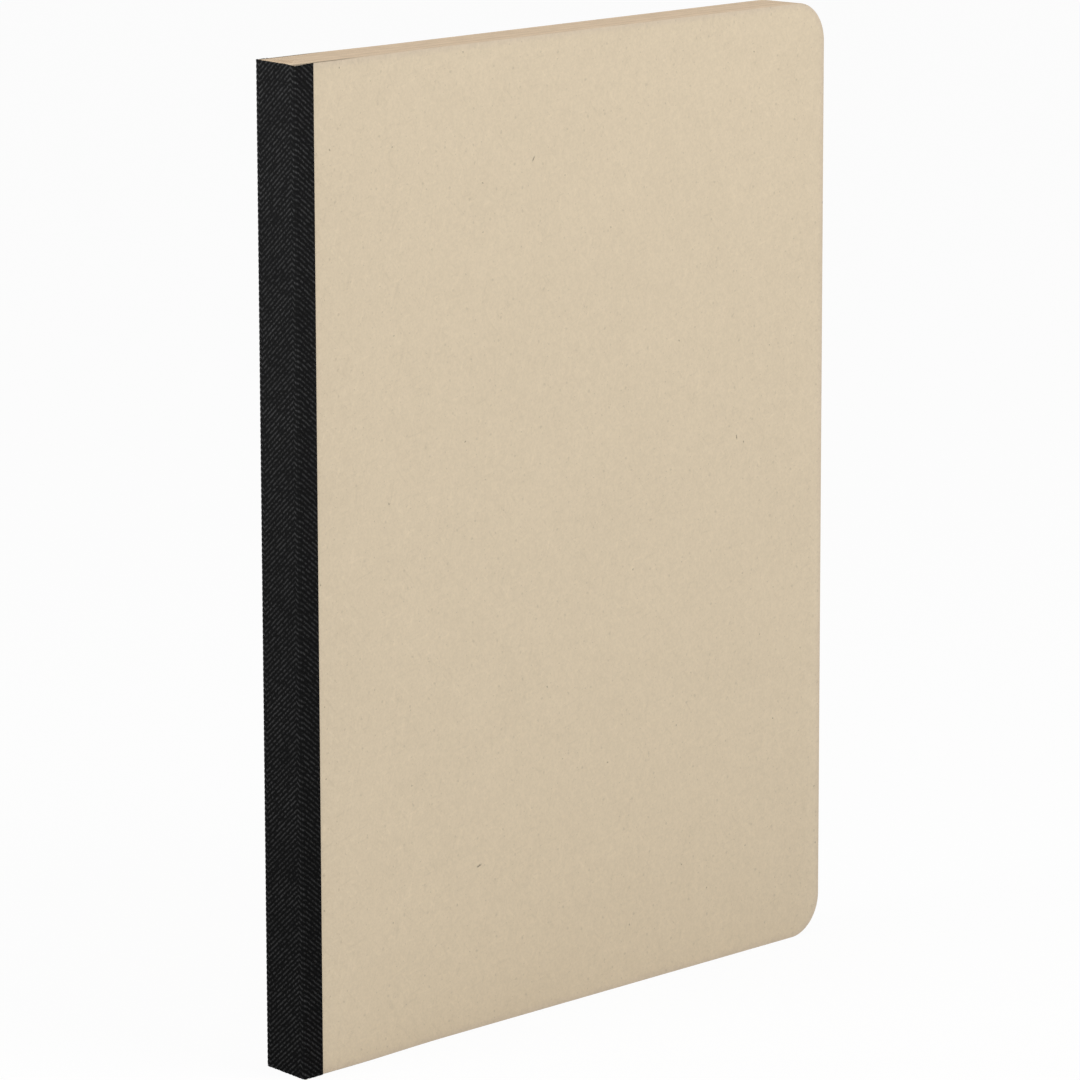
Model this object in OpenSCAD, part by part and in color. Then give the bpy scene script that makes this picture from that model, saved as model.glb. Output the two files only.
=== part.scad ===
/* [Book] */
// Height of the trimmed book
book_h = 247.65; // [150:0.05:330]
// Width of the trimmed book, from the middle of the spine to the fore-edge
book_w = 190.5; // [120:0.1:260]
// Radius of the two corners at the fore-edge
corner_r = 10.5; // [2:0.5:25]

/* [Pages] */
// Thickness of the page block at the fore-edge
block_t = 11.2; // [6:0.1:30]
// How much the folds swell the book beside the spine, on each side
swell = 1.1; // [0:0.1:2.5]
// Distance from the spine over which the book is swollen in full
swell_full = 14; // [8:1:25]
// Distance from the spine to where the swell ends
swell_end = 50; // [30:1:100]
// Number of grooves between the leaves, counted from the middle fold to one cover
leaf_lines = 5; // [1:1:12]
// Width of a groove between the leaves
line_w = 0.12; // [0.05:0.01:0.2]
// Depth of a groove between the leaves
line_depth = 0.2; // [0.05:0.05:0.5]
// How far the front corner of the spine stands out past its back corner
spine_lean = 2.2; // [0:0.1:4]

/* [Covers] */
// Thickness of the cover card
cover_t = 0.8; // [0.5:0.05:2]
// Rounding of the card's edge at the spine
edge_r = 0.4; // [0.2:0.05:0.45]
// Clearance between a cover and the first page
leaf_gap = 0.05; // [0.02:0.01:0.3]
// How far a cover lifts off the pages where the book is swollen in full
cover_lift = 0.45; // [0:0.05:0.5]

/* [Spine tape] */
// Thickness of the woven cloth tape
tape_t = 0.4; // [0.2:0.05:0.8]
// Thickness of the glue line under the tape
glue_t = 0.02; // [0.01:0.01:0.1]
// How far the tape reaches over each cover, from the middle of the spine
tape_reach = 4.75; // [3.5:0.25:25]
// Distance between the ridges of the herringbone weave, along the book
ridge_pitch = 1.33; // [1:0.01:4]
// Distance between the ridges of the herringbone weave, across the tape
ridge_across = 1.67; // [1:0.01:4]
// Height of the ridges, which is part of the tape's thickness
ridge_h = 0.1; // [0.05:0.01:0.15]

/* [Sewing] */
// Diameter of the sewing thread
thread_d = 0.6; // [0.3:0.05:1]
// Clearance round the thread in the paper
thread_gap = 0.05; // [0.02:0.01:0.1]
// Number of stitches along the fold
stitches = 24; // [8:1:40]
// Distance from each end of the book to the last stitch
stitch_margin = 9; // [5:0.5:20]

/* [Hidden] */
$fn = 48;

// Colours of the paper, the card, the cloth and the thread
paper_colour = [0.80, 0.72, 0.61];
card_colour = [0.83, 0.76, 0.65];
cloth_colour = [0.13, 0.13, 0.13];
thread_colour = [0.93, 0.91, 0.86];

// Length of each straight piece that the swollen side is drawn with
side_step = 2;
// Number of those pieces that one straight piece of a folded sheet spans
leaf_step = 3;
// Angle of each straight piece that the tape's corners are drawn with
arc_step = 15;
// Number of flats round the thread, and how thin it is drawn where it passes through a hole
thread_sides = 8;
leg_share = 0.85;
// Share of the weave that lies low, and the plain margin beside each fold and edge of the tape
low_share = 0.45;
weave_margin = 0.15;
// How far a cutter reaches past what it cuts
cut = 1;

// Share of the swell at a distance x from the spine: all of it, then a soft slope down to none
function slope(x) =
    let (way = min(max((x - swell_full) / (swell_end - swell_full), 0), 1))
    (1 + cos(180 * way)) / 2;

// The same, drawn with straight pieces, so that every layer follows the same corners
function swell_share(x) =
    let (low = side_step * floor(x / side_step), part = (x - low) / side_step)
    (1 - part) * slope(low) + part * slope(low + side_step);

// Half the thickness over both covers and over the pages, at a distance x from the spine
function side(x) = block_t / 2 + cover_t + swell * swell_share(x);
function page_side(x) = side(x) - cover_t - leaf_gap - cover_lift * swell_share(x);

// Centres of the spine's two rounded corners, and the slant between them
front_x = edge_r - spine_lean / 2;
back_x = edge_r + spine_lean / 2;
front_centre = [front_x, edge_r - side(front_x)];
back_centre = [back_x, side(back_x) - edge_r];
slant = atan(spine_lean / (back_centre.y - front_centre.y));

// Place on the slanted spine at a height y through the book's thickness
function spine_x(y) = front_centre.x - edge_r / cos(slant) + (y - front_centre.y) * tan(slant);

// The model's middle lies over the middle of its whole length
spine_out = front_centre.x - edge_r - glue_t - tape_t;
middle = (book_w + spine_out) / 2;

// Places along one swollen side, from x = a up to x = b: both ends and the corners between
function side_places(a, b) = concat(
    [a], [for (i = [floor(a / side_step) + 1:ceil(b / side_step) - 1]) i * side_step], [b]);
function reversed(list) = [for (i = [len(list) - 1:-1:0]) list[i]];
function arc(centre, r, from, to) =
    let (n = ceil(abs(to - from) / arc_step))
    [for (i = [0:n]) let (t = from + (to - from) * i / n) centre + r * [cos(t), sin(t)]];

// Where the swollen side turns straight, which needs no more points
straight_from = side_step * ceil(swell_end / side_step);

// Places along a folded sheet from its fold on, in longer steps than the block's own sides
function leaf_places(fold) = concat(
    [fold], [for (x = [swell_full:leaf_step * side_step:straight_from]) if (x > fold + side_step) x],
    [straight_from]);

// A plan outline stood up to the book's height, with its fore-edge corners cut round.
// An inset takes that much off its top, its bottom and its corners.
module trimmed(inset = 0) {
    difference() {
        translate([0, 0, inset]) linear_extrude(height = book_h - 2 * inset) children();
        corner_cut(inset);
        translate([0, 0, book_h]) mirror([0, 0, 1]) corner_cut(inset);
    }
}

module corner_cut(inset) {
    reach = side(0) + cut;
    difference() {
        translate([book_w - corner_r, -reach, -cut]) cube([corner_r + cut, 2 * reach, corner_r + cut]);
        translate([book_w - corner_r, 0, corner_r]) rotate([90, 0, 0])
            cylinder(r = corner_r - inset, h = 2 * reach + 2 * cut, center = true, $fn = 96);
    }
}

// Plan outline of the page block, folded at the slanted spine
module block_plan() {
    front_start = spine_x(-page_side(front_x));
    back_start = spine_x(page_side(back_x));
    front = [for (x = side_places(front_start, straight_from)) [x, -page_side(x)]];
    back = [for (x = side_places(back_start, straight_from)) [x, page_side(x)]];
    fore_edge = [[book_w, -page_side(book_w)], [book_w, page_side(book_w)]];
    polygon(concat(front, fore_edge, reversed(back)));
}

// The way one folded sheet takes: along the front, round its fold and along the back. The share is 0 at the
// middle of the book and 1 at the block's outside, and the folds lie one inside the other.
function leaf_way(share) =
    let (
        wide = share * page_side(0),
        deep = page_side(0) - wide,
        front_fold = spine_x(-wide) + deep,
        back_fold = spine_x(wide) + deep
    )
    concat(
        [[book_w + cut, -share * page_side(book_w)]],
        reversed([for (x = leaf_places(front_fold)) [x, -share * page_side(x)]]),
        [for (x = leaf_places(back_fold)) [x, share * page_side(x)]],
        [[book_w + cut, share * page_side(book_w)]]
    );

// The grooves between the leaves, as deep as the line depth in the three trimmed sides
module leaf_grooves() {
    half = line_w / 2 / page_side(0);
    difference() {
        translate([0, 0, -cut]) linear_extrude(height = book_h + 2 * cut)
            for (i = [1:leaf_lines]) {
                share = i / (leaf_lines + 1);
                polygon(concat(leaf_way(share + half), reversed(leaf_way(share - half))));
            }
        trimmed(line_depth) translate([-cut, -side(0)]) square([book_w - line_depth + cut, 2 * side(0)]);
    }
}

// Plan outline of one cover, on the front with sign = -1 and on the back with sign = 1
module cover_plan(sign) {
    centre = sign < 0 ? front_centre : back_centre;
    spine_turn = sign < 0 ? -180 - slant : 180 - slant;
    outer = [for (x = side_places(centre.x, straight_from)) [x, sign * side(x)]];
    round = arc(centre, edge_r, 90 * sign, spine_turn);
    inner_start = spine_x(sign * (side(centre.x) - cover_t));
    inner = [for (x = side_places(inner_start, straight_from)) [x, sign * (side(x) - cover_t)]];
    fore_edge = [[book_w, sign * (side(book_w) - cover_t)], [book_w, sign * side(book_w)]];
    polygon(concat(reversed(outer), round, inner, fore_edge));
}

// The way the tape takes round the spine, at a distance d outside the covers
function tape_way(d) =
    concat(
        reversed([for (x = side_places(front_centre.x, tape_reach)) [x, -side(x) - d]]),
        arc(front_centre, edge_r + d, -90, -180 - slant),
        arc(back_centre, edge_r + d, 180 - slant, 90),
        [for (x = side_places(back_centre.x, tape_reach)) [x, side(x) + d]]
    );

// The low stripes between the ridges of the weave, on a flat stretch of tape. They rise to the right with
// lean = 1 and to the left with lean = -1.
module stripes(width, lean) {
    low = ridge_pitch * low_share;
    rise = width * ridge_pitch / ridge_across;
    intersection() {
        translate([weave_margin, -cut]) square([width - 2 * weave_margin, book_h + 2 * cut]);
        for (z = [-rise:ridge_pitch:book_h + rise])
            polygon([[0, z], [width, z + lean * rise], [width, z + lean * rise + low], [0, z + low]]);
    }
}

// The same stripes sunk into the tape's outside, between two places on its plan with the outside on the right
module sunk_stripes(from, to, lean) {
    way = to - from;
    translate([from.x, from.y, 0]) rotate([90, 0, atan2(way.y, way.x)]) translate([0, 0, -ridge_h])
        linear_extrude(height = ridge_h + cut) stripes(norm(way), lean);
}

// The herringbone turns its ridges at both folds of the tape
module herringbone() {
    r = edge_r + glue_t + tape_t;
    outside = side(front_centre.x) + glue_t + tape_t;
    front_fold = front_centre - r * [cos(slant), -sin(slant)];
    back_fold = back_centre - r * [cos(slant), -sin(slant)];
    sunk_stripes([front_centre.x, -outside], [tape_reach, -outside], -1);
    sunk_stripes(back_fold, front_fold, 1);
    sunk_stripes([tape_reach, outside], [back_centre.x, outside], -1);
}

// Two runs of thread, outside and inside the fold, tied together at each hole
module sewing(r) {
    outside_x = spine_x(0) + thread_d / 2;
    inside_x = outside_x + page_side(front_x);
    run = book_h - 2 * stitch_margin;
    pitch = run / stitches;
    for (x = [outside_x, inside_x])
        translate([x, 0, stitch_margin - r]) cylinder(r = r, h = run + 2 * r, $fn = thread_sides);
    for (i = [0:stitches])
        translate([outside_x, 0, stitch_margin + i * pitch]) rotate([0, 90, 0])
            cylinder(r = r * leg_share, h = inside_x - outside_x, $fn = thread_sides);
}

module page_block() {
    color(paper_colour) translate([-middle, 0, 0]) difference() {
        trimmed() block_plan();
        leaf_grooves();
        sewing(thread_d / 2 + thread_gap);
    }
}

module sewing_thread() {
    color(thread_colour) translate([-middle, 0, 0]) sewing(thread_d / 2);
}

module front_cover() {
    color(card_colour) translate([-middle, 0, 0]) trimmed() cover_plan(-1);
}

module back_cover() {
    color(card_colour) translate([-middle, 0, 0]) trimmed() cover_plan(1);
}

module spine_tape() {
    color(cloth_colour) translate([-middle, 0, 0]) difference() {
        linear_extrude(height = book_h) polygon(concat(tape_way(glue_t + tape_t), reversed(tape_way(glue_t))));
        herringbone();
    }
}

page_block();
sewing_thread();
front_cover();
back_cover();
spine_tape();
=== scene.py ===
# %% [markdown]
# # A composition notebook
# A composition notebook is a stack of paper sheets, folded once and sewn through the fold. Two sheets of
# plain card lie outside them as covers, and a strip of woven cloth tape is glued round the spine over the
# edges of both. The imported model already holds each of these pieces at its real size, so this script gives
# them the shapes and surfaces that the eye sees from close by: soft card edges, a hundred trimmed leaves,
# and a herringbone weave that can be felt.

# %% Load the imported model
import itertools
import math
import random

import bmesh
import bpy
from mathutils import Matrix, Vector
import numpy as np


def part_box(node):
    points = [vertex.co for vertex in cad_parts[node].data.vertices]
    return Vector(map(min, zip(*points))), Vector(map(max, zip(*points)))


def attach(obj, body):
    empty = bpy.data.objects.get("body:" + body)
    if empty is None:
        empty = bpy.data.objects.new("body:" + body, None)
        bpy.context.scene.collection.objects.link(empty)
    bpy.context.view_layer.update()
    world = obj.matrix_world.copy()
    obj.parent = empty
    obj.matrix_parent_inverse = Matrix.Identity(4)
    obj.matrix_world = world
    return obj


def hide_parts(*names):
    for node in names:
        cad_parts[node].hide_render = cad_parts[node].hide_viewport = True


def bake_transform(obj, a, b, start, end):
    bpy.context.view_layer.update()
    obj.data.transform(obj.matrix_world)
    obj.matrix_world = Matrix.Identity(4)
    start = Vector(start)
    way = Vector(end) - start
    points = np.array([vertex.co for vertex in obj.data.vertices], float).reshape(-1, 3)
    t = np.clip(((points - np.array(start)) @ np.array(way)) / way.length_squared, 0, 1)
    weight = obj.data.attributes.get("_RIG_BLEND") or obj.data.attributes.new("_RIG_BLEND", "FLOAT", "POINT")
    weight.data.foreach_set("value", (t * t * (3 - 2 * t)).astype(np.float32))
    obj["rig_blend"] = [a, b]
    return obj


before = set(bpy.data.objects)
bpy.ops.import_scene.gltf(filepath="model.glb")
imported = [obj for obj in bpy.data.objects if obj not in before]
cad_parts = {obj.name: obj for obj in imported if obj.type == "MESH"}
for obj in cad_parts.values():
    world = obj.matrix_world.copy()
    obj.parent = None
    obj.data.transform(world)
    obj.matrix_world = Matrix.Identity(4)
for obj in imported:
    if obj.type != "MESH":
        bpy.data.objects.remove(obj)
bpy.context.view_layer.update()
MM = 0.001
TINY = 0.001 * MM
random.seed(7)

# %% [markdown]
# ## Measure what the new pieces have to fit
# The book is a little thicker beside the spine than at the fore-edge, because folded paper swells at its
# fold. A cover shows that best: seen from below, its outside is a line that comes in softly. The script
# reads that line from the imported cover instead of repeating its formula, so the new pieces can't drift away
# from it.

# %% Read the swollen profile from the front cover
front_low, front_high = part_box("front_cover")
back_low, back_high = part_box("back_cover")
block_low, block_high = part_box("page_block")
tape_low, tape_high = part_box("spine_tape")
BOOK_H = front_high.z
CORNER_R = 10.5 * MM
CARD_T = 0.8 * MM
CARD_EDGE_R = 0.4 * MM
SPINE_LEAN = 2.2 * MM

outside = {}
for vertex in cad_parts["front_cover"].data.vertices:
    if vertex.co.z < TINY and vertex.co.x > front_low.x + CARD_EDGE_R + TINY:
        x = round(vertex.co.x, 6)
        outside[x] = max(outside.get(x, 0), -vertex.co.y)
stations = sorted(x for x in outside if x < front_high.x - 2 * CORNER_R)
spine_half = outside[stations[0]]
fore_half = outside[stations[-1]]
stations = [x for x in stations if x > back_low.x + CARD_EDGE_R + TINY]


def swell_share(x):
    """How much of the swell is left at a place: 1 beside the spine and 0 towards the fore-edge."""
    return (outside.get(x, spine_half) - fore_half) / (spine_half - fore_half)


spine_slant = math.atan(SPINE_LEAN / (2 * (spine_half - CARD_EDGE_R)))
half_sizes = [round(size / MM, 3) for size in (spine_half, fore_half)]
print("half thickness in mm at the spine and at the fore-edge:", half_sizes)
print("places where the side bends:", len(stations))
print("slant of the spine in degrees:", round(math.degrees(spine_slant), 2))

# %% [markdown]
# ## Modelling by operators
# Every operator works on what is selected, so modelling in a script is mostly a matter of selecting well.
# These helpers open a piece in edit mode with nothing else in the way, select parts of it by a test on
# their place, cut it by a plane, and close it again with smooth shading on all but its sharp edges.

# %% Helpers to open a piece, pick its parts, cut it and close it


def open_piece(piece):
    """Opens one piece in edit mode, with no other object selected."""
    bpy.ops.object.select_all(action="DESELECT")
    piece.select_set(True)
    bpy.context.view_layer.objects.active = piece
    bpy.ops.object.mode_set(mode="EDIT")


def pick(piece, kind, wanted):
    """Selects each vertex, edge or face that the test wants, and says how many there are."""
    bpy.ops.mesh.select_mode(type=kind)
    bpy.ops.mesh.select_all(action="DESELECT")
    mesh = bmesh.from_edit_mesh(piece.data)
    parts = {"VERT": mesh.verts, "EDGE": mesh.edges, "FACE": mesh.faces}[kind]
    chosen = [part for part in parts if wanted(part)]
    for part in chosen:
        part.select_set(True)
    mesh.select_flush_mode()
    bmesh.update_edit_mesh(piece.data, loop_triangles=False, destructive=False)
    return len(chosen)


def pick_at(piece, x):
    """Selects the vertices at one place along the book's width."""
    pick(piece, "VERT", lambda v: abs(v.co.x - x) < TINY)


def pick_rim(piece):
    """Selects the open rim of a piece and says how many edges it has."""
    return pick(piece, "EDGE", lambda e: e.is_boundary)


def unclosed(piece):
    """Counts the edges that don't lie between two faces. A closed piece has none."""
    return pick(piece, "EDGE", lambda e: not e.is_manifold)


def cut_all(place, normal, **side_to_clear):
    """Cuts all that is open in edit mode by one plane, and can clear what lies on one side of it."""
    bpy.ops.mesh.select_all(action="SELECT")
    bpy.ops.mesh.bisect(plane_co=place, plane_no=normal, threshold=TINY, **side_to_clear)


def close_piece(piece, sharp_degrees):
    """Turns all faces outwards, leaves edit mode and shades the piece smooth between its sharp edges."""
    bpy.ops.mesh.select_all(action="SELECT")
    bpy.ops.mesh.normals_make_consistent(inside=False)
    bpy.ops.object.mode_set(mode="OBJECT")
    bpy.ops.object.shade_smooth_by_angle(angle=math.radians(sharp_degrees))
    print(f"{piece.name}: {len(piece.data.vertices)} vertices and {len(piece.data.polygons)} faces")


# %% [markdown]
# ## The covers
# Each cover is one sheet of grey-brown card, cut with round corners. The sheet could be a plane with a
# Solidify modifier, but a cube that is cut into strips keeps both faces exact: each cut follows one bend of
# the swollen side, and the vertices on it are then moved out by the right amount. The leaves start in the
# same way, so the steps that both need are helpers.

# %% Helpers to start a sheet or a block of the book


def block_between(name, low, high):
    """Adds a cube that fills the space between two corners, and gives it that place in its mesh."""
    bpy.ops.object.select_all(action="DESELECT")
    low, high = Vector(low), Vector(high)
    bpy.ops.mesh.primitive_cube_add(size=1, location=(low + high) / 2, scale=high - low)
    piece = bpy.context.object
    piece.name = name
    piece.data.name = name
    bpy.ops.object.transform_apply(location=True, rotation=True, scale=True)
    return piece


def cut_across(places):
    """Cuts what is open in edit mode by an upright plane at each place along the book's width."""
    for x in places:
        cut_all((x, 0, 0), (1, 0, 0))


def runs_up(edge):
    """Whether an edge runs up the whole book."""
    a, b = edge.verts
    return abs(a.co.z - b.co.z) > BOOK_H / 2


def round_fore_edge(piece, steps):
    """Rounds the two corners of a piece at the fore-edge."""
    fore_x = max(vertex.co.x for vertex in bmesh.from_edit_mesh(piece.data).verts)

    def at_corner(edge):
        a, b = (v.co for v in edge.verts)
        return min(a.x, b.x) > fore_x - TINY and abs(a.z - b.z) < TINY

    pick(piece, "EDGE", at_corner)
    bpy.ops.mesh.bevel(offset=CORNER_R, segments=steps, affect="EDGES", clamp_overlap=False)


# %% [markdown]
# The card's edge at the spine leans as the spine does, and it is rounded on the outside, where the tape
# folds over it. A knife leaves all the other edges only a little soft. A Bevel modifier would treat all
# edges alike, so both are bevels in edit mode, each on its own chosen edges.

# %% Model the two cards
CARD_SOFTNESS = 0.18 * MM
CORNER_STEPS = 24
CUT_BY_KNIFE = math.radians(60)


def make_card(name, node, outward):
    """One cover card. Outward is -1 for the front of the book and 1 for its back."""
    low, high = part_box(node)
    faces_y = sorted([outward * fore_half, outward * (fore_half - CARD_T)])
    card = block_between(name, (low.x, faces_y[0], 0), (high.x, faces_y[1], BOOK_H))
    open_piece(card)
    cut_across(stations)
    for x in [low.x] + stations:
        pick_at(card, x)
        bpy.ops.transform.translate(value=(0, outward * swell_share(x) * (spine_half - fore_half), 0))
    middle_y = outward * (spine_half - CARD_T / 2)
    pick(card, "VERT", lambda v: v.co.x < low.x + TINY and v.co.y > middle_y)
    bpy.ops.transform.translate(value=(CARD_T * math.tan(spine_slant), 0, 0))

    def under_the_fold(edge):
        at_spine = all(v.co.x < low.x + CARD_T / 2 for v in edge.verts)
        return at_spine and runs_up(edge) and outward * edge.verts[0].co.y > outward * middle_y

    pick(card, "EDGE", under_the_fold)
    bpy.ops.mesh.bevel(offset=CARD_EDGE_R, segments=6, affect="EDGES")
    round_fore_edge(card, CORNER_STEPS)
    pick(card, "EDGE", lambda e: e.calc_face_angle(0) > CUT_BY_KNIFE)
    bpy.ops.mesh.bevel(offset=CARD_SOFTNESS, segments=3, affect="EDGES")
    close_piece(card, sharp_degrees=25)
    return card


front_card = make_card("front_card", "front_cover", -1)
back_card = make_card("back_card", "back_cover", 1)

# %% [markdown]
# ## The leaves
# Fifty sheets are folded together, one inside the other, sewn through the fold and trimmed on three sides.
# What shows is their trimmed edge: fine lines that run along the covers and turn round at the fold. A bump
# map could hint at them, but here they are real. It starts with a block as large as all the leaves
# together, widened towards the spine as the covers are.

# %% Model the block of all leaves
FOLD_R = 0.8 * MM

block_spine_half = block_high.y
gap = spine_half - CARD_T - block_spine_half
print("gap between card and leaves at the spine in mm:", round(gap / MM, 3))
block_fore_half = max(
    abs(v.co.y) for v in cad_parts["page_block"].data.vertices if v.co.x > block_high.x - CORNER_R
)
leaves = block_between(
    "leaf_block", (block_low.x, -block_fore_half, 0), (block_high.x, block_fore_half, BOOK_H)
)
open_piece(leaves)
leaf_stations = [x for x in stations if x > block_low.x + block_spine_half + 2 * FOLD_R]
cut_across(leaf_stations)
for x in [block_low.x] + leaf_stations:
    wide = block_fore_half + swell_share(x) * (block_spine_half - block_fore_half)
    pick_at(leaves, x)
    bpy.ops.transform.resize(value=(1, wide / block_fore_half, 1), center_override=(0, 0, 0))
pick(leaves, "VERT", lambda v: v.co.x < block_low.x + TINY and v.co.y > 0)
bpy.ops.transform.translate(value=(2 * block_spine_half * math.tan(spine_slant), 0, 0))
round_fore_edge(leaves, CORNER_STEPS // 2)
print("strips across the leaves:", len(leaf_stations) + 1)

# %% [markdown]
# The block's folds are rounded, and its three trimmed sides are taken away. What is left is the outermost
# sheet of the book, folded once, and its open rim is one closed line. A cut down the middle puts points of
# that line on the middle fold, where all the sheets are going to meet.

# %% Leave only the outermost sheet
FACING = 0.5

fold_x = block_low.x + block_spine_half * math.tan(spine_slant)
fold_reach = fold_x - block_low.x + 2 * FOLD_R


def at_fold(edge):
    """Whether an edge belongs to the fold of the sheet at hand."""
    return all(v.co.x < fold_x + fold_reach for v in edge.verts)


def on_trimmed_side(face):
    """Whether a face looks up, down or to the fore-edge, and not across the book or to its spine."""
    return abs(face.normal.y) < FACING and face.normal.x > -FACING


pick(leaves, "EDGE", lambda e: at_fold(e) and runs_up(e))
bpy.ops.mesh.bevel(offset=FOLD_R, segments=4, affect="EDGES")
cut_all((0, 0, 0), (0, 1, 0))
pick(leaves, "FACE", on_trimmed_side)
bpy.ops.mesh.delete(type="FACE")
bmesh.from_edit_mesh(leaves.data).verts.layers.float.new("leaf")
print("rim of the outermost sheet:", pick_rim(leaves), "edges")

# %% [markdown]
# The rim is now drawn inwards sheet by sheet: an extrude and a scale for each leaf's edge, and another for
# the fine groove before the next. The fold shrinks by itself and moves inwards, so its lines turn round as
# those of real folded sheets do. The last line closes on itself in the middle fold. Each ring of vertices
# keeps its number, because the paper's material is going to give every leaf its own tone.

# %% Draw the rim inwards, leaf by leaf
SHEETS = 50
GROOVE_DEPTH = 0.06 * MM
UNEVEN = 0.03 * MM

rings = 2 * SHEETS
fold_step = block_spine_half / rings
half_w = (block_high.x - block_low.x) / 2
middle = ((block_low.x + block_high.x) / 2, 0, BOOK_H / 2)
depth = 0
for ring in range(rings):
    shrink = (rings - ring - 1) / (rings - ring)
    deeper = (GROOVE_DEPTH if ring % 2 == 0 else random.uniform(0, UNEVEN)) - depth
    bpy.ops.mesh.extrude_edges_move()
    bpy.ops.transform.resize(
        value=(1 - deeper / half_w, shrink, 1 - deeper / middle[2]), center_override=middle
    )
    depth += deeper
    mesh = bmesh.from_edit_mesh(leaves.data)
    rim = [e for e in mesh.edges if e.select]
    bpy.ops.mesh.select_all(action="DESELECT")
    for e in filter(at_fold, rim):
        e.select_set(True)
    bpy.ops.transform.resize(value=(shrink, 1, 1), center_override=(fold_x, 0, 0))
    bpy.ops.transform.translate(value=(fold_step, 0, 0))
    fold_x += fold_step
    leaf_layer = mesh.verts.layers.float["leaf"]
    for e in rim:
        e.select_set(True)
        for v in e.verts:
            v[leaf_layer] = ring + 1
bpy.ops.mesh.select_all(action="SELECT")
bpy.ops.mesh.remove_doubles(threshold=TINY)
print("open edges left on the leaves:", unclosed(leaves))
close_piece(leaves, sharp_degrees=30)

# %% [markdown]
# ## The cloth tape
# The tape is cut from a ribbon about an inch wide. It covers a strip of the front card, folds round the
# card's edge, crosses the spine and does the same at the back. Its width when it lies flat is the length of
# that whole way, so the way is measured before anything is woven.

# %% Measure the way round the spine
GLUE_T = 0.02 * MM

front_fold = Vector((front_low.x + CARD_EDGE_R, front_low.y + CARD_EDGE_R))
back_fold = Vector((front_fold.x + SPINE_LEAN, back_high.y - CARD_EDGE_R))
wrap_r = CARD_EDGE_R + GLUE_T
front_flap = tape_high.x - front_fold.x
back_flap = tape_high.x - back_fold.x
front_turn = wrap_r * (math.pi / 2 + spine_slant)
back_turn = wrap_r * (math.pi / 2 - spine_slant)
spine_way = (back_fold - front_fold).length
stretches = (front_flap, front_turn, spine_way, back_turn, back_flap)
*fold_places, flat_w = itertools.accumulate(stretches)
print("places of the folds on the flat tape in mm:", [round(place / MM, 2) for place in fold_places])
print("width of the flat tape in mm:", round(flat_w / MM, 2))

# %% [markdown]
# Herringbone tape is a twill: each warp thread passes over two weft threads and under two, one step later
# than its neighbour, so the threads that lie on top line up in slanting ridges. After a dozen millimetres
# the steps turn round, and the ridges turn with them. That is also how the mesh is made. One repeat of the
# weave is a grid with two columns for each warp thread. Its rows are lifted into a ridge, the columns
# between threads are lowered, and each column is moved one step up or down from its neighbour.

# %% Weave one repeat
TAPE_T = 0.4 * MM
RIDGES = 186
RIDGE_H = 0.09 * MM
RIDGE_ACROSS = 1.67 * MM
RIDGE_ROUNDING = (0.8, 1.0, 0.8)
THREADS_IN_RIDGE = 4
THREAD_DIP = 0.05 * MM
FIRST_TURN = 6.9 * MM
BAND = 12.7 * MM

ridge_pitch = BOOK_H / RIDGES
rows = len(RIDGE_ROUNDING) + 1
columns = 2 * round(flat_w / (RIDGE_ACROSS / THREADS_IN_RIDGE))
column_w = flat_w / columns


def rise(u):
    """How far the zigzag of the weave has risen at a distance u from the tape's front edge."""
    slope = ridge_pitch / RIDGE_ACROSS
    second_turn = FIRST_TURN + BAND
    rising = min(u, FIRST_TURN)
    falling = max(0, min(u, second_turn) - FIRST_TURN)
    rising_again = max(0, u - second_turn)
    return slope * (rising - falling + rising_again)


bpy.ops.object.select_all(action="DESELECT")
bpy.ops.mesh.primitive_grid_add(
    x_subdivisions=columns,
    y_subdivisions=rows,
    size=1,
    location=(flat_w / 2, TAPE_T - RIDGE_H, ridge_pitch / 2),
    rotation=(-math.pi / 2, 0, 0),
)
bpy.ops.transform.resize(value=(flat_w, 1, ridge_pitch))
tape = bpy.context.object
tape.name = "tape"
bpy.ops.object.transform_apply(location=True, rotation=True, scale=True)
open_piece(tape)
for row, share in enumerate(RIDGE_ROUNDING, start=1):
    pick(tape, "VERT", lambda v: abs(v.co.z - row * ridge_pitch / rows) < TINY)
    bpy.ops.transform.translate(value=(0, share * RIDGE_H, 0))
pick(tape, "VERT", lambda v: round(v.co.x / column_w) % 2 == 0)
bpy.ops.transform.translate(value=(0, -THREAD_DIP, 0))
for column in range(columns + 1):
    u = column * column_w
    pick_at(tape, u)
    bpy.ops.transform.translate(value=(0, 0, rise(u)))
print("columns of the weave:", columns, "of", round(column_w / MM, 3), "mm each")

# %% [markdown]
# An Array modifier repeats the weave up the book. The zigzag leaves both ends of the stack uneven, so it
# starts a few repeats below the book and ends a few above it, and is trimmed afterwards.

# %% Stack the repeats up the book
rises = [rise(column * column_w) for column in range(columns + 1)]
below = math.ceil(max(rises) / ridge_pitch) + 1
above = math.ceil(-min(rises) / ridge_pitch) + 1
stack = RIDGES + below + above
bpy.ops.mesh.select_all(action="SELECT")
bpy.ops.transform.translate(value=(0, 0, -below * ridge_pitch))
bpy.ops.object.mode_set(mode="OBJECT")

repeats = tape.modifiers.new("Repeats", "ARRAY")
repeats.use_relative_offset = False
repeats.use_constant_offset = True
repeats.constant_offset_displace = (0, 0, ridge_pitch)
repeats.count = stack
repeats.use_merge_vertices = True
repeats.merge_threshold = TINY
bpy.ops.object.modifier_apply(modifier="Repeats")
print("repeats in the stack:", stack, "and its vertices:", len(tape.data.vertices))

# %% [markdown]
# The real tape is trimmed together with the pages. Its edges along the cards are pressed a little thinner,
# and the threads at its cut ends are slightly uneven. At the front corner of the spine, where a finger
# pulls the book from a shelf, the top end is worn down. Proportional editing makes that dip soft.

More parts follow.
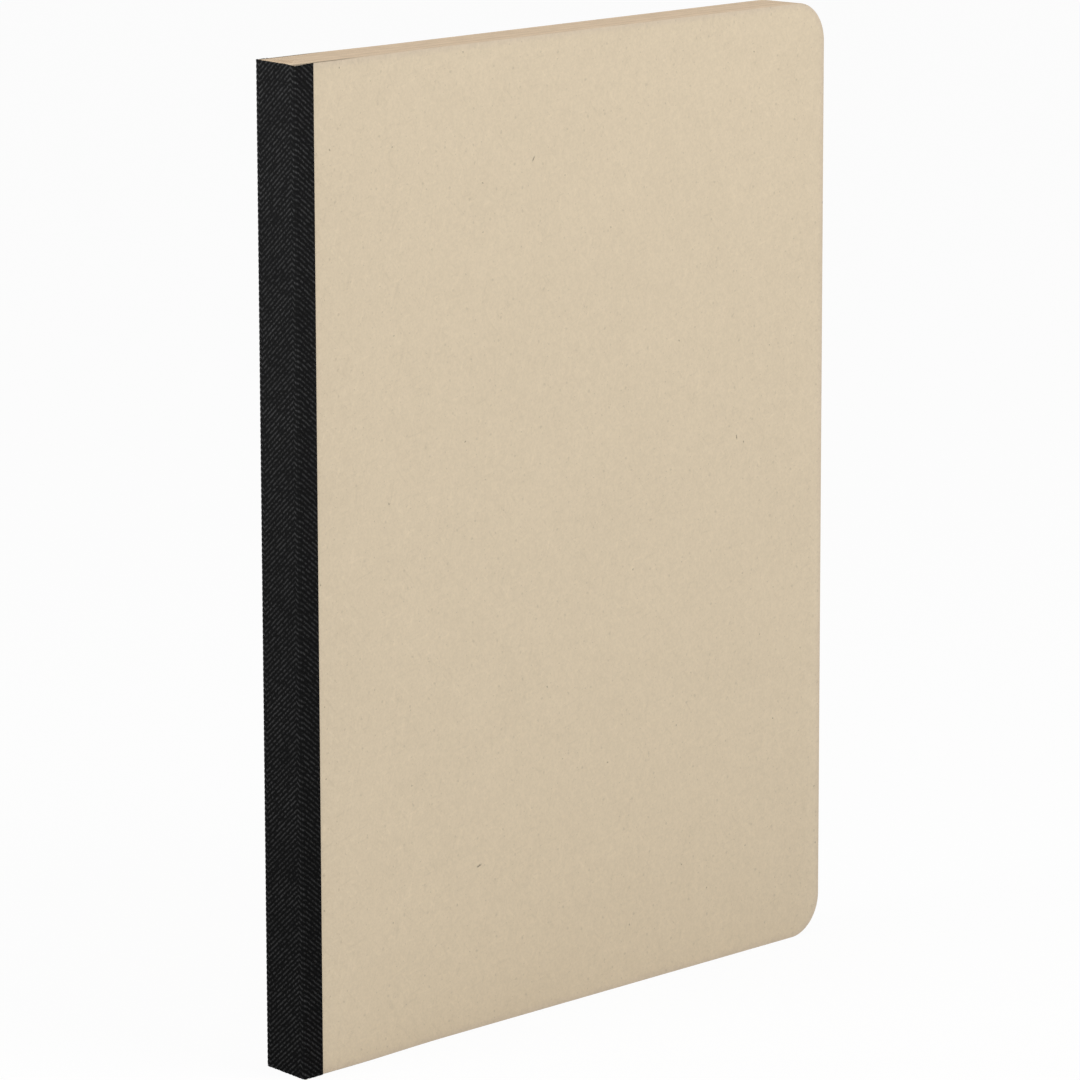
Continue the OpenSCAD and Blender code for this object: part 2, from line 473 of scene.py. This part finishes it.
# %% Trim the tape and wear its ends
PRESSED_T = 0.34 * MM
FRAY = 0.07 * MM
TOP_SHORT = 0.04 * MM
WORN_DIP = 0.12 * MM
WORN_REACH = 3 * MM

open_piece(tape)
cut_all((0, 0, 0), (0, 0, 1), clear_inner=True)
cut_all((0, 0, BOOK_H), (0, 0, 1), clear_outer=True)
pick(tape, "VERT", lambda v: v.co.x < TINY or v.co.x > flat_w - TINY)
bpy.ops.transform.resize(value=(1, 0, 1), center_override=(0, PRESSED_T, 0))
for end_z, inward in ((0, FRAY), (BOOK_H, -TOP_SHORT)):
    pick(tape, "VERT", lambda v: abs(v.co.z - end_z) < TINY)
    bpy.ops.transform.translate(value=(0, 0, inward))
    bpy.ops.transform.vertex_random(offset=FRAY, uniform=1.0, normal=0.0, seed=5)
worn_u = (fold_places[0] + fold_places[1]) / 2


def at_worn_corner(vertex):
    """Whether a vertex lies on the tape's top end, at the front corner of the spine."""
    near = abs(vertex.co.x - worn_u) < WORN_REACH / 3
    return near and vertex.co.z > BOOK_H - TOP_SHORT - 2 * FRAY


print("points in the middle of the wear:", pick(tape, "VERT", at_worn_corner))
bpy.ops.transform.translate(
    value=(0, 0, -WORN_DIP),
    use_proportional_edit=True,
    proportional_edit_falloff="SMOOTH",
    proportional_size=WORN_REACH,
)

# %% [markdown]
# The tape still has no back. Its rim is drawn to the glue line and closed by one flat face. That face has
# to bend later, so it is cut wherever the tape folds, and also at the seam in the middle of the spine where
# the tape is going to be parted. Last, every point keeps its place in the flat weave as an attribute: the
# cloth's material needs it once the tape is no longer flat.

# %% Give the tape a back and mark its flat places
BEND_CUTS = 6


def nearest_column(place):
    """The line between two columns of the weave that lies nearest to a place."""
    return column_w * round(place / column_w)


print("rim of the tape:", pick_rim(tape), "edges")
bpy.ops.mesh.extrude_edges_move()
bpy.ops.transform.resize(value=(1, 0, 1), center_override=(0, 0, 0))
bpy.ops.mesh.edge_face_add()
seam = nearest_column((fold_places[1] + fold_places[2]) / 2)
bends = [seam]
for start, end in (fold_places[:2], fold_places[2:]):
    bends += [start + (end - start) * i / BEND_CUTS for i in range(BEND_CUTS + 1)]
for place in bends:
    pick(tape, "FACE", lambda f: abs(f.calc_center_median().y) < TINY)
    bpy.ops.mesh.bisect(plane_co=(nearest_column(place), 0, 0), plane_no=(1, 0, 0), threshold=TINY)
bpy.ops.mesh.select_all(action="SELECT")
bpy.ops.mesh.normals_make_consistent(inside=False)
print("open edges left on the tape:", unclosed(tape))
bpy.ops.object.mode_set(mode="OBJECT")

flat_place = tape.data.attributes.new("flat_place", "FLOAT_VECTOR", "POINT")
for vertex, entry in zip(tape.data.vertices, flat_place.data):
    u, _, z = vertex.co
    entry.vector = (u, z - rise(u), z)
print("faces of the tape:", len(tape.data.polygons))

# %% [markdown]
# A Curve modifier wraps the flat tape round the spine. It lays the tape's length along X on a curve and
# keeps its thickness on the curve's outer side, so the curve has to run where the glue is: over the front
# card, round its rounded edge, down the spine, and out over the back card.

# %% Wrap the tape round the spine
ARC_STEPS = 10
FLAT_PIECE = 0.1 * MM


def arc(fold, first, last):
    """Places round one fold of the spine, between two angles."""
    angles = [first + (last - first) * i / ARC_STEPS for i in range(ARC_STEPS + 1)]
    return [fold + wrap_r * Vector((math.cos(a), math.sin(a))) for a in angles]


front_arc = arc(front_fold, -math.pi / 2, -math.pi - spine_slant)
back_arc = arc(back_fold, math.pi - spine_slant, math.pi / 2)
down_spine = (back_fold - front_fold).normalized() * FLAT_PIECE
along_card = Vector((FLAT_PIECE, 0))
way = [Vector((tape_high.x, front_arc[0].y)), front_arc[0] + along_card] + front_arc
way += [front_arc[-1] + down_spine, back_arc[0] - down_spine] + back_arc
way += [back_arc[-1] + along_card, Vector((tape_high.x, back_arc[-1].y))]
curve = bpy.data.curves.new("way_round_the_spine", "CURVE")
curve.dimensions = "3D"
curve.twist_mode = "Z_UP"
line = curve.splines.new("POLY")
line.points.add(len(way) - 1)
for point, place in zip(line.points, way):
    point.co = (place.x, place.y, 0, 1)
way_round = bpy.data.objects.new("way_round_the_spine", curve)
bpy.context.collection.objects.link(way_round)
wrap = tape.modifiers.new("Wrap", "CURVE")
wrap.object = way_round
wrap.deform_axis = "POS_X"
bpy.context.view_layer.objects.active = tape
bpy.ops.object.modifier_apply(modifier="Wrap")
bpy.data.objects.remove(way_round)
low = [min(v.co[k] for v in tape.data.vertices) for k in range(3)]
high = [max(v.co[k] for v in tape.data.vertices) for k in range(3)]
print("wrapped tape in mm:", [round(c / MM, 3) for c in low + high])
print("packed tape in mm: ", [round(c / MM, 3) for c in list(tape_low) + list(tape_high)])

# %% [markdown]
# On the real book the tape is one strip that bends at two hinges. A piece of the scene can bend between two
# bodies only, so the strip is cut in two down the middle of the spine, where it never moves, and each half
# takes one hinge. Both cut faces are closed, so each half is a solid of its own.

# %% Part the tape down the middle of the spine
open_piece(tape)
place_layer = bmesh.from_edit_mesh(tape.data).verts.layers.float_vector["flat_place"]
pick(tape, "FACE", lambda f: max(v[place_layer].x for v in f.verts) > seam + TINY)
bpy.ops.mesh.separate(type="SELECTED")
bpy.ops.object.mode_set(mode="OBJECT")
tape_back = next(o for o in bpy.context.selected_objects if o != tape)
tape_front = tape
tape_front.name = "tape_front"
tape_back.name = "tape_back"
for half in (tape_front, tape_back):
    half.data.name = half.name
    open_piece(half)
    pick_rim(half)
    bpy.ops.mesh.edge_face_add()
    print("open edges left:", unclosed(half))
    close_piece(half, sharp_degrees=50)

# %% [markdown]
# ## What each piece belongs to
# The pages stay with the book. Each card turns with its own board, and each half of the tape bends from the
# spine on to its card: from the start of the fold, where it still belongs to the book, to its end.

# %% Tie the pieces to the bodies of the model
FOLD_WAY = 1.5 * MM

for piece, body, node, stuff in (
    (leaves, "book", "page_block", "paper"),
    (front_card, "front_board", "front_cover", "card"),
    (back_card, "back_board", "back_cover", "card"),
):
    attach(piece, body)
    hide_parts(node)

for half, board, x, y, cloth_w in (
    (tape_front, "front_board", front_low.x, front_low.y - GLUE_T, seam),
    (tape_back, "back_board", front_low.x + SPINE_LEAN, back_high.y + GLUE_T, flat_w - seam),
):
    inward = -math.copysign(FOLD_WAY, y)
    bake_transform(half, "book", board, start=(x, y + inward, 0), end=(x + FOLD_WAY, y, 0))
    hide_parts("spine_tape")
    print(half.name, "is", round(cloth_w / MM, 2), "mm wide when it lies flat")

# %% [markdown]
# ## Surfaces
# Paper and card are felted plant fibres, so neither has one colour. What makes kraft card look real is the
# small stuff: a soft cloudiness, fine fibres, and now and then a dark fleck of bark. All materials are
# built from nodes on the object's own coordinates, in metres, so the patterns keep their true size on every
# piece. A tree of nodes gets long when each one is added and linked by hand, so helpers do that.

# %% Helpers to add and link nodes


def add(tree, kind, inputs=(), output=0, **settings):
    """Adds a node and returns one of its outputs. Each input is a value or another node's output."""
    made = tree.nodes.new("ShaderNode" + kind)
    for name, value in settings.items():
        setattr(made, name, value)
    for name, value in dict(inputs).items():
        if isinstance(value, bpy.types.NodeSocket):
            tree.links.new(value, made.inputs[name])
        else:
            made.inputs[name].default_value = value
    return made.outputs[output]


def maths(tree, operation, a, b=0.0):
    """One sum, difference, product and so on."""
    return add(tree, "Math", {0: a, 1: b}, operation=operation)


def product(tree, *factors):
    """All factors multiplied."""
    result = factors[0]
    for factor in factors[1:]:
        result = maths(tree, "MULTIPLY", result, factor)
    return result


def new_material(name, roughness, specular):
    """Makes a material and returns it with its node tree, main shader and the object's coordinates."""
    material = bpy.data.materials.new(name)
    material.use_nodes = True
    tree = material.node_tree
    shader = tree.nodes["Principled BSDF"]
    shader.inputs["Roughness"].default_value = roughness
    shader.inputs["Specular IOR Level"].default_value = specular
    return material, tree, shader, add(tree, "TexCoord", output="Object")


def finish_with(piece, *materials):
    """Gives a piece its materials."""
    piece.data.materials.clear()
    for material in materials:
        piece.data.materials.append(material)


# %% [markdown]
# A pattern starts as a noise or as a coordinate. A ramp turns its values into tones, which are factors
# close to 1 that make a colour a little lighter or darker. Most surfaces here are several such layers
# multiplied, from clouds of a few centimetres down to the grain.

# %% Helpers for patterns


def axis(tree, place, name):
    """One coordinate of a place."""
    return add(tree, "SeparateXYZ", {"Vector": place}, output=name)


def ramp(tree, value, low, high, to_low=0.0, to_high=1.0):
    """Turns one range of values into another with a soft start and end, and holds it there."""
    sockets = {"Value": value, "From Min": low, "From Max": high, "To Min": to_low, "To Max": to_high}
    return add(tree, "MapRange", sockets, interpolation_type="SMOOTHSTEP")


def noise(tree, place, scale, detail=3.0, stretch=(1, 1, 1), turn=0.0):
    """A noise from 0 to 1. Its grains are turned about Y and then drawn out by the stretch."""
    sockets = {"Vector": place, "Scale": stretch, "Rotation": (0, turn, 0)}
    grains = add(tree, "Mapping", sockets, vector_type="TEXTURE")
    return add(tree, "TexNoise", {"Vector": grains, "Scale": scale, "Detail": detail})


def tones(tree, place, *layers):
    """Layers of noise multiplied. Each has scale, detail, the range of noise and its two tones."""
    shades = []
    for scale, detail, low, high, dark, light in layers:
        shades.append(ramp(tree, noise(tree, place, scale, detail), low, high, dark, light))
    return product(tree, *shades)


# %% [markdown]
# A colour is easiest to judge on screen, as three values up to 255, but a shader counts light, and the two
# scales aren't in step. One helper turns the first into the second. The others make a colour lighter or
# darker, mix two of them, and let a pattern catch the light as if it had depth.

# %% Helpers for colour and relief


def srgb(red, green, blue):
    """A colour given as on screen, 0 to 255, as the values that the shader works with."""
    shares = [c / 255 for c in (red, green, blue)]
    return [s / 12.92 if s <= 0.04045 else ((s + 0.055) / 1.055) ** 2.4 for s in shares]


def tinted(tree, colour, shade):
    """A colour made lighter or darker by a factor."""
    return add(tree, "VectorMath", {0: colour, 1: shade}, operation="MULTIPLY")


def mixed(tree, share, first, second):
    """The first colour where the share is 0 and the second where it is 1."""
    # this node has sockets for several kinds of value: for colours they are 6 and 7, and output 2
    sockets = {"Factor": share, 6: (*first, 1), 7: (*second, 1)}
    return add(tree, "Mix", sockets, output=2, data_type="RGBA")


def bumpy(tree, shader, height, depth, strength=1.0):
    """Lets a height pattern of this depth catch the light."""
    bump = add(tree, "Bump", {"Height": height, "Strength": strength, "Distance": depth})
    tree.links.new(bump, shader.inputs["Normal"])


# %% [markdown]
# Kraft card is made of long brown fibres that lie across one another. Three layers of noise give its
# clouds, blotches and grain, and a noise stretched in three directions gives the fibres.

# %% Kraft card: tone and fibres
CARD_COLOUR = srgb(214, 198, 172)
CARD_TONES = (
    # scale and detail of a noise, the range of it that counts, and the tones at the ends of that range
    (60, 4, 0.30, 0.70, 0.992, 1.008),
    (420, 3, 0.30, 0.70, 0.985, 1.012),
    (1500, 3, 0.25, 0.75, 0.960, 1.035),
)
FIBRE_TURNS = (0.3, 1.35, 2.4)
FIBRE_STRETCH = 7
FIBRE_TONES = (0.95, 1.04)

card, tree, shader, place = new_material("kraft_card", roughness=0.86, specular=0.25)
shade = tones(tree, place, *CARD_TONES)
for turn in FIBRE_TURNS:
    fibre = noise(tree, place, 1100, 2, stretch=(1, 1, FIBRE_STRETCH), turn=turn)
    dark_fibre = ramp(tree, fibre, 0.60, 0.76, 1.0, FIBRE_TONES[0])
    pale_fibre = ramp(tree, fibre, 0.24, 0.40, FIBRE_TONES[1], 1.0)
    shade = product(tree, shade, dark_fibre, pale_fibre)
print("nodes for the card's tone and fibres:", len(tree.nodes))

# %% [markdown]
# The card's flecks are cells of a flat Voronoi pattern: only a small disc at the middle of each cell is dark,
# and only in some cells. A noise shifts the coordinates first, so no disc stays round. Three longer strands
# of bark lie at given places on the front, each a disc drawn out in its own direction.

# %% Kraft card: flecks and strands of bark
FLECKS = (
    # size of a cell and of a fleck in it, share of cells without one, and how dark it is
    (8.0 * MM, 0.50 * MM, 0.45, 0.13),
    (3.3 * MM, 0.22 * MM, 0.60, 0.20),
    (1.2 * MM, 0.10 * MM, 0.60, 0.18),
    (26.0 * MM, 0.32 * MM, 0.50, 0.45),
)
FLECK_CORE = 0.3
STRANDS = (
    # place on the cover in mm, half length and half width in mm, and turn
    (-13.0, 217.2, 1.05, 0.20, 0.55),
    (62.5, 137.6, 0.75, 0.22, -0.15),
    (-33.4, 41.8, 1.05, 0.32, 1.35),
)
STRAND_TONE = 0.42
WOBBLE = 0.8 * MM

wobble = add(tree, "TexNoise", {"Vector": place, "Scale": 1500.0}, output="Color")
wobble = add(tree, "VectorMath", {0: wobble, 1: (WOBBLE,) * 3}, operation="MULTIPLY")
bent = add(tree, "VectorMath", {0: place, 1: wobble}, operation="ADD")
on_card = add(tree, "CombineXYZ", {"X": axis(tree, bent, "X"), "Y": axis(tree, bent, "Z")})
for cell, radius, bare, depth in FLECKS:
    spots = add(tree, "TexVoronoi", {"Vector": on_card, "Scale": 1 / cell}, voronoi_dimensions="2D")
    spot = ramp(tree, spots, FLECK_CORE * radius / cell, radius / cell, depth, 0.0)
    lot = add(tree, "SeparateColor", {"Color": spots.node.outputs["Color"]})
    shown = maths(tree, "GREATER_THAN", lot, bare)
    shade = product(tree, shade, maths(tree, "SUBTRACT", 1.0, product(tree, spot, shown)))
for x, z, half_l, half_w, turn in STRANDS:
    sockets = {
        "Vector": bent,
        "Location": (x * MM + WOBBLE / 2, 0, z * MM + WOBBLE / 2),
        "Rotation": (0, turn, 0),
        "Scale": (half_w * MM, 1, half_l * MM),
    }
    near = add(tree, "Mapping", sockets, vector_type="TEXTURE")
    away = add(tree, "VectorMath", {0: near}, output="Value", operation="LENGTH")
    shade = product(tree, shade, ramp(tree, away, 0.35, 1.1, STRAND_TONE, 1.0))
print("kinds of fleck:", len(FLECKS), "and strands:", len(STRANDS))

# %% [markdown]
# The last millimetres before the card's rim are painted greyer, as painted shade where the card's edge rounds
# off. The distance to the rim follows the round corners, so the shaded band does too. The page will use the
# same distance.

# %% Kraft card: painted shade at the rim, and relief
# painted shade: a greyer colour along the card's rim, where its edge rounds off
RIM_SHADE_COLOUR = srgb(206, 190, 168)
RIM_W = 2.2 * MM
RIM_SHADE_SHARE = 0.8


def rim_share(tree, place, width):
    """1 at the trimmed rim of a page or cover, falling to 0 at this width inside it."""
    over_x = maths(tree, "SUBTRACT", axis(tree, place, "X"), front_high.x - CORNER_R)
    from_middle = maths(tree, "ABSOLUTE", maths(tree, "SUBTRACT", axis(tree, place, "Z"), BOOK_H / 2))
    over_z = maths(tree, "SUBTRACT", from_middle, BOOK_H / 2 - CORNER_R)
    squares = [maths(tree, "POWER", maths(tree, "MAXIMUM", over, 0.0), 2.0) for over in (over_x, over_z)]
    round_part = maths(tree, "SQRT", maths(tree, "ADD", *squares))
    straight_part = maths(tree, "MINIMUM", maths(tree, "MAXIMUM", over_x, over_z), 0.0)
    return ramp(tree, maths(tree, "ADD", round_part, straight_part), CORNER_R - width, CORNER_R)


shaded_rim = product(tree, rim_share(tree, place, RIM_W), RIM_SHADE_SHARE)
colour = mixed(tree, shaded_rim, CARD_COLOUR, RIM_SHADE_COLOUR)
tree.links.new(tinted(tree, colour, shade), shader.inputs["Base Color"])
bumpy(tree, shader, noise(tree, place, 2600, 3), depth=0.03 * MM, strength=0.3)
print("nodes in the card's material:", len(tree.nodes))

# %% [markdown]
# A knife opens the card's fibres, so a cut edge is browner than the face. Beside the spine the cloth pulls
# the card a little off the pages, and the edge there is painted darker, as painted shade for the shadow in
# that gap. Faces that look along the card get this second material.

# %% Cut edges of the cards
CUT_COLOUR = srgb(201, 181, 156)
CUT_TONES = (0.92, 1.04)
# painted shade on the cut edge beside the spine: how dark it is made, and where it fades out
SPINE_SHADE = 0.5
SPINE_SHADE_END = (13 * MM, 26 * MM)
CUT_FACING = 0.75

cut, tree, shader, place = new_material("cut_card", roughness=0.9, specular=0.2)
from_spine = maths(tree, "SUBTRACT", axis(tree, place, "X"), front_low.x)
layers_of_card = noise(tree, place, 900, 3, stretch=(6, 1, 6))
shade = product(
    tree,
    ramp(tree, from_spine, *SPINE_SHADE_END, SPINE_SHADE, 1.0),
    ramp(tree, layers_of_card, 0.3, 0.7, *CUT_TONES),
    tones(tree, place, (400, 3, 0.3, 0.7, 0.95, 1.04)),
)
tree.links.new(tinted(tree, CUT_COLOUR, shade), shader.inputs["Base Color"])
bumpy(tree, shader, noise(tree, place, 3000, 3), depth=0.03 * MM, strength=0.4)
for sheet in (front_card, back_card):
    finish_with(sheet, card, cut)
    for polygon in sheet.data.polygons:
        polygon.material_index = int(abs(polygon.normal.y) < CUT_FACING)
    print(sheet.name, "has", sum(p.material_index for p in sheet.data.polygons), "cut faces")

# %% [markdown]
# The leaves have two surfaces. Their trimmed edges are darker than the page, because light gets lost
# between the sheets, and no two sheets are alike. Each ring of vertices has kept the number of its leaf, so
# the colour follows every sheet round its fold. Right at the fold the paper is pressed hard and stays pale.

# %% Trimmed edges of the leaves
EDGE_COLOUR = srgb(203, 183, 158)
PAGE_COLOUR = srgb(219, 204, 179)
SHEET_TONES = (0.86, 1.08)
BUNDLE_TONES = (0.95, 1.04)
# painted shade in the fine grooves between the leaves
GROOVE_SHADE = 0.82
LEAF_TONE = 1.03
PRESSED_W = 2.2 * MM
PRESSED = 0.8

edges, tree, shader, place = new_material("trimmed_paper", roughness=0.9, specular=0.2)
leaf = add(tree, "Attribute", output="Fac", attribute_name="leaf")
one_sheet = add(tree, "TexNoise", {"W": leaf, "Scale": 0.55, "Detail": 3.0}, noise_dimensions="1D")
bundle = add(tree, "TexNoise", {"W": leaf, "Scale": 0.06, "Detail": 1.0}, noise_dimensions="1D")
in_groove = maths(tree, "PINGPONG", leaf, 1.0)
shade = product(
    tree,
    ramp(tree, one_sheet, 0.3, 0.7, *SHEET_TONES),
    ramp(tree, bundle, 0.3, 0.7, *BUNDLE_TONES),
    ramp(tree, in_groove, 0.0, 1.0, LEAF_TONE, GROOVE_SHADE),
    tones(tree, place, (300, 4, 0.3, 0.7, 0.95, 1.03)),
)
from_fold = maths(tree, "SUBTRACT", axis(tree, place, "X"), block_low.x)
pressed = ramp(tree, from_fold, 0.0, PRESSED_W, PRESSED, 0.0)
colour = mixed(tree, pressed, EDGE_COLOUR, PAGE_COLOUR)
tree.links.new(tinted(tree, colour, shade), shader.inputs["Base Color"])
bumpy(tree, shader, noise(tree, place, 3000, 3), depth=0.03 * MM, strength=0.4)
print("nodes in the material of the trimmed edges:", len(tree.nodes))

# %% [markdown]
# The page itself is ruled with pale lines, as such pages usually are. A ping-pong node folds the way down
# the page to and fro between two lines, so one ramp draws them all, and a noise makes the ink uneven.

# %% Ruled pages
LINE_COLOUR = srgb(160, 172, 184)
LINE_PITCH = 8.7 * MM
LINE_W = 0.25 * MM
TOP_MARGIN = 30 * MM
PAGE_TONES = (
    # scale and detail of a noise, the range of it that counts, and the tones at the ends of that range
    (70, 4, 0.30, 0.70, 0.985, 1.015),
    (1700, 3, 0.25, 0.75, 0.975, 1.020),
)
PAGE_RIM_W = 4 * MM
PAGE_RIM_TONE = 0.95
PAGE_FACING = 0.9
SMALLEST_PAGE_FACE = 20 * MM * MM

page, tree, shader, place = new_material("ruled_page", roughness=0.85, specular=0.25)
down = maths(tree, "SUBTRACT", BOOK_H - TOP_MARGIN, axis(tree, place, "Z"))
to_line = maths(tree, "PINGPONG", down, LINE_PITCH / 2)
line = ramp(tree, to_line, 0.4 * LINE_W, 0.6 * LINE_W, 1.0, 0.0)
below_margin = maths(tree, "GREATER_THAN", down, -LINE_W)
ink = product(tree, line, below_margin, tones(tree, place, (900, 2, 0.2, 0.6, 0.5, 0.85)))
shade = product(
    tree,
    tones(tree, place, *PAGE_TONES),
    ramp(tree, rim_share(tree, place, PAGE_RIM_W), 0.0, 1.0, 1.0, PAGE_RIM_TONE),
)
colour = mixed(tree, ink, PAGE_COLOUR, LINE_COLOUR)
tree.links.new(tinted(tree, colour, shade), shader.inputs["Base Color"])
bumpy(tree, shader, noise(tree, place, 2600, 3), depth=0.02 * MM, strength=0.3)
finish_with(leaves, edges, page)
for polygon in leaves.data.polygons:
    flat_face = abs(polygon.normal.y) > PAGE_FACING
    polygon.material_index = int(flat_face and polygon.area > SMALLEST_PAGE_FACE)
print("faces of the ruled pages:", sum(p.material_index for p in leaves.data.polygons))

# %% [markdown]
# The sewing thread keeps the shape it has in the model, since the tape hides it. It is linen: off-white,
# with the slanting lines of its twist.

# %% Sewing thread
LINEN_COLOUR = srgb(238, 233, 221)
TWIST_TONES = (0.82, 1.0)

thread, tree, shader, place = new_material("linen_thread", roughness=0.8, specular=0.2)
sockets = {"Vector": place, "Scale": 500.0, "Distortion": 0.6}
twist = add(tree, "TexWave", sockets, bands_direction="DIAGONAL")
fuzz = tones(tree, place, (2000, 3, 0.3, 0.7, 0.93, 1.03))
shade = product(tree, ramp(tree, twist, 0, 1, *TWIST_TONES), fuzz)
tree.links.new(tinted(tree, LINEN_COLOUR, shade), shader.inputs["Base Color"])
bumpy(tree, shader, twist, depth=0.05 * MM)
finish_with(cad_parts["sewing_thread"], thread)
print("nodes in the thread's material:", len(tree.nodes))

# %% [markdown]
# Black cloth is hardly ever seen as black. The crowns of its threads catch light and lint, and the furrows
# between them swallow nearly all of it. The mesh has the ridges, and the material adds what is smaller: the
# parting between two threads, the fibres in each, and a chance brightness for every thread where it comes up.
# The crowns are painted lighter, and the furrows and partings darker: partly the cloth's own lint and dark
# weft, partly painted light and painted shade. The whole cloth is also painted lighter towards its top, as
# painted light from above.

# %% Black cloth
CROWN = 0.012
FURROW = 0.0092
CROWN_SHEEN = 0.11
LINT = 0.35
CHANCE_TONES = (0.2, 1.9)
CLOTH_FIBRE_TONES = (0.7, 1.25)
TOP_LIGHT_TONES = (0.62, 1.14)
COOL_BLACK = (1, 1, 1.02)
FIBRE_RELIEF = 0.4

cloth, tree, shader, place = new_material("black_cloth", roughness=0.75, specular=0.1)
flat = add(tree, "Attribute", output="Vector", attribute_name="flat_place")
across = maths(tree, "DIVIDE", maths(tree, "PINGPONG", axis(tree, flat, "X"), column_w), column_w)
half_pitch = ridge_pitch / 2
along = maths(tree, "DIVIDE", maths(tree, "PINGPONG", axis(tree, flat, "Y"), half_pitch), half_pitch)
# crowns painted lighter and thread partings darker: partly lint and weft, partly painted light and painted
# shade
crown = product(tree, ramp(tree, along, 0.3, 0.95), ramp(tree, across, 0.0, 0.8, 0.35, 1.1))
fibres = noise(tree, flat, 9000, 2, stretch=(1, 6, 6))
chance = noise(tree, flat, 1300, 1, stretch=(1, 1.6, 1))
lint = ramp(tree, noise(tree, place, 2600, 4), 0.66, 0.8)
shade = product(
    tree,
    crown,
    ramp(tree, chance, 0.38, 0.62, *CHANCE_TONES),
    ramp(tree, fibres, 0.3, 0.7, *CLOTH_FIBRE_TONES),
    tones(tree, place, (110, 3, 0.3, 0.7, 0.8, 1.2)),
)
tree.links.new(product(tree, shade, CROWN_SHEEN), shader.inputs["Specular IOR Level"])
shade = maths(tree, "ADD", shade, product(tree, lint, LINT))
shade = maths(tree, "ADD", shade, FURROW / CROWN)
# painted light: the cloth's colour is lighter towards its top and darker towards its foot
top_light = ramp(tree, axis(tree, place, "Z"), 0.0, BOOK_H, *TOP_LIGHT_TONES)
black = [CROWN * share for share in COOL_BLACK]
tree.links.new(tinted(tree, black, product(tree, shade, top_light)), shader.inputs["Base Color"])
bumpy(tree, shader, maths(tree, "ADD", across, product(tree, fibres, FIBRE_RELIEF)), depth=0.05 * MM)
finish_with(tape_front, cloth)
finish_with(tape_back, cloth)
print("nodes in the cloth's material:", len(tree.nodes))

# %% [markdown]
# ## Floor, light and camera
# The book stands on a white floor, as in a studio. A floor that is lit until it looks white would throw too
# much light back at the book. So this one is a pale grey floor that glows for the camera only, and for rays
# that reach the camera by way of a gloss. The glow isn't full, so the shadow of the book stays on the floor.

# %% Floor
FLOOR_SIZE = 12
FLOOR_GREY = 0.78
FLOOR_GLOW = 0.94


def white_rays(tree):
    """1 for the rays that should find white: the camera's own, and those by way of gloss or glass."""
    rays = tree.nodes.new("ShaderNodeLightPath")
    seen = maths(tree, "MAXIMUM", rays.outputs["Is Camera Ray"], rays.outputs["Is Glossy Ray"])
    return maths(tree, "MAXIMUM", seen, rays.outputs["Is Transmission Ray"])


bpy.ops.object.select_all(action="DESELECT")
bpy.ops.mesh.primitive_plane_add(size=FLOOR_SIZE, location=(0, 0, 0))
floor = bpy.context.object
floor.name = "floor"
bpy.ops.object.transform_apply(location=True, rotation=True, scale=True)
white, tree, shader, _ = new_material("white_floor", roughness=0.9, specular=0.0)
shader.inputs["Base Color"].default_value = (FLOOR_GREY, FLOOR_GREY, FLOOR_GREY, 1)
glow = add(tree, "Emission", {"Color": (1, 1, 1, 1), "Strength": 1.0})
share = product(tree, white_rays(tree), FLOOR_GLOW)
lit = add(tree, "MixShader", {0: share, 1: shader.outputs[0], 2: glow})
tree.links.new(lit, tree.nodes["Material Output"].inputs["Surface"])
finish_with(floor, white)
print("side of the floor in m:", FLOOR_SIZE)

# %% [markdown]
# Soft light comes from all around. The world does that, and it too is white for the camera and weaker for
# everything else. Two square lamps give the book its form: the key lamp shines on the front cover from
# above, and the side lamp on the spine, from far enough off that an opened cover doesn't come near it.

# %% World and lamps
SURROUND = 0.62

world = bpy.data.worlds.new("studio")
bpy.context.scene.world = world
world.use_nodes = True
tree = world.node_tree
strength = ramp(tree, white_rays(tree), 0, 1, SURROUND, 1.0)
tree.nodes["Background"].inputs["Color"].default_value = (1, 1, 1, 1)
tree.links.new(strength, tree.nodes["Background"].inputs["Strength"])


def soft_lamp(name, place, aim, size, watts):
    """A square area lamp that faces the book."""
    lamp = bpy.data.objects.new(name, bpy.data.lights.new(name, "AREA"))
    lamp.data.size = size
    lamp.data.energy = watts
    lamp.location = place
    lamp.visible_camera = False
    beam = Vector(aim) - Vector(place)
    lamp.rotation_euler = beam.to_track_quat("-Z", "Y").to_euler()
    bpy.context.collection.objects.link(lamp)
    print(name, "lamp stands", round(beam.length, 2), "m from the book")


soft_lamp("key", place=(0.17, -0.65, 0.8), aim=(0.02, 0, 0.1), size=0.5, watts=3.68)
soft_lamp("side", place=(-0.7, 0.14, 0.44), aim=(-0.09, 0, 0.2), size=0.35, watts=2.4)

# %% [markdown]
# The camera stands more than a metre away with a long lens, which keeps the upright edges almost parallel.
# It sees the front cover and the spine, from slightly above the book's top. Its place, its direction and
# its lens are those that put the book's corners where a photograph of it has them.

# %% Camera
CAMERA_PLACE = Vector((-1.08082, -1.02278, 0.41496))
RIGHT = Vector((0.68843, -0.7253, -0.0023))
FORWARD = Vector((0.71104, 0.67552, -0.19518))
LENS = 201.126
SENSOR_W = 36
FARTHEST = 50

camera_data = bpy.data.cameras.new("camera")
camera_data.lens = LENS
camera_data.sensor_width = SENSOR_W
camera_data.clip_end = FARTHEST
camera = bpy.data.objects.new("camera", camera_data)
turned = Matrix((RIGHT, RIGHT.cross(FORWARD), -FORWARD)).transposed()
camera.matrix_world = Matrix.Translation(CAMERA_PLACE) @ turned.to_4x4()
bpy.context.collection.objects.link(camera)
bpy.context.scene.camera = camera
bpy.context.scene.view_settings.view_transform = "Standard"
print("camera's distance from the book in m:", round(CAMERA_PLACE.length, 2))
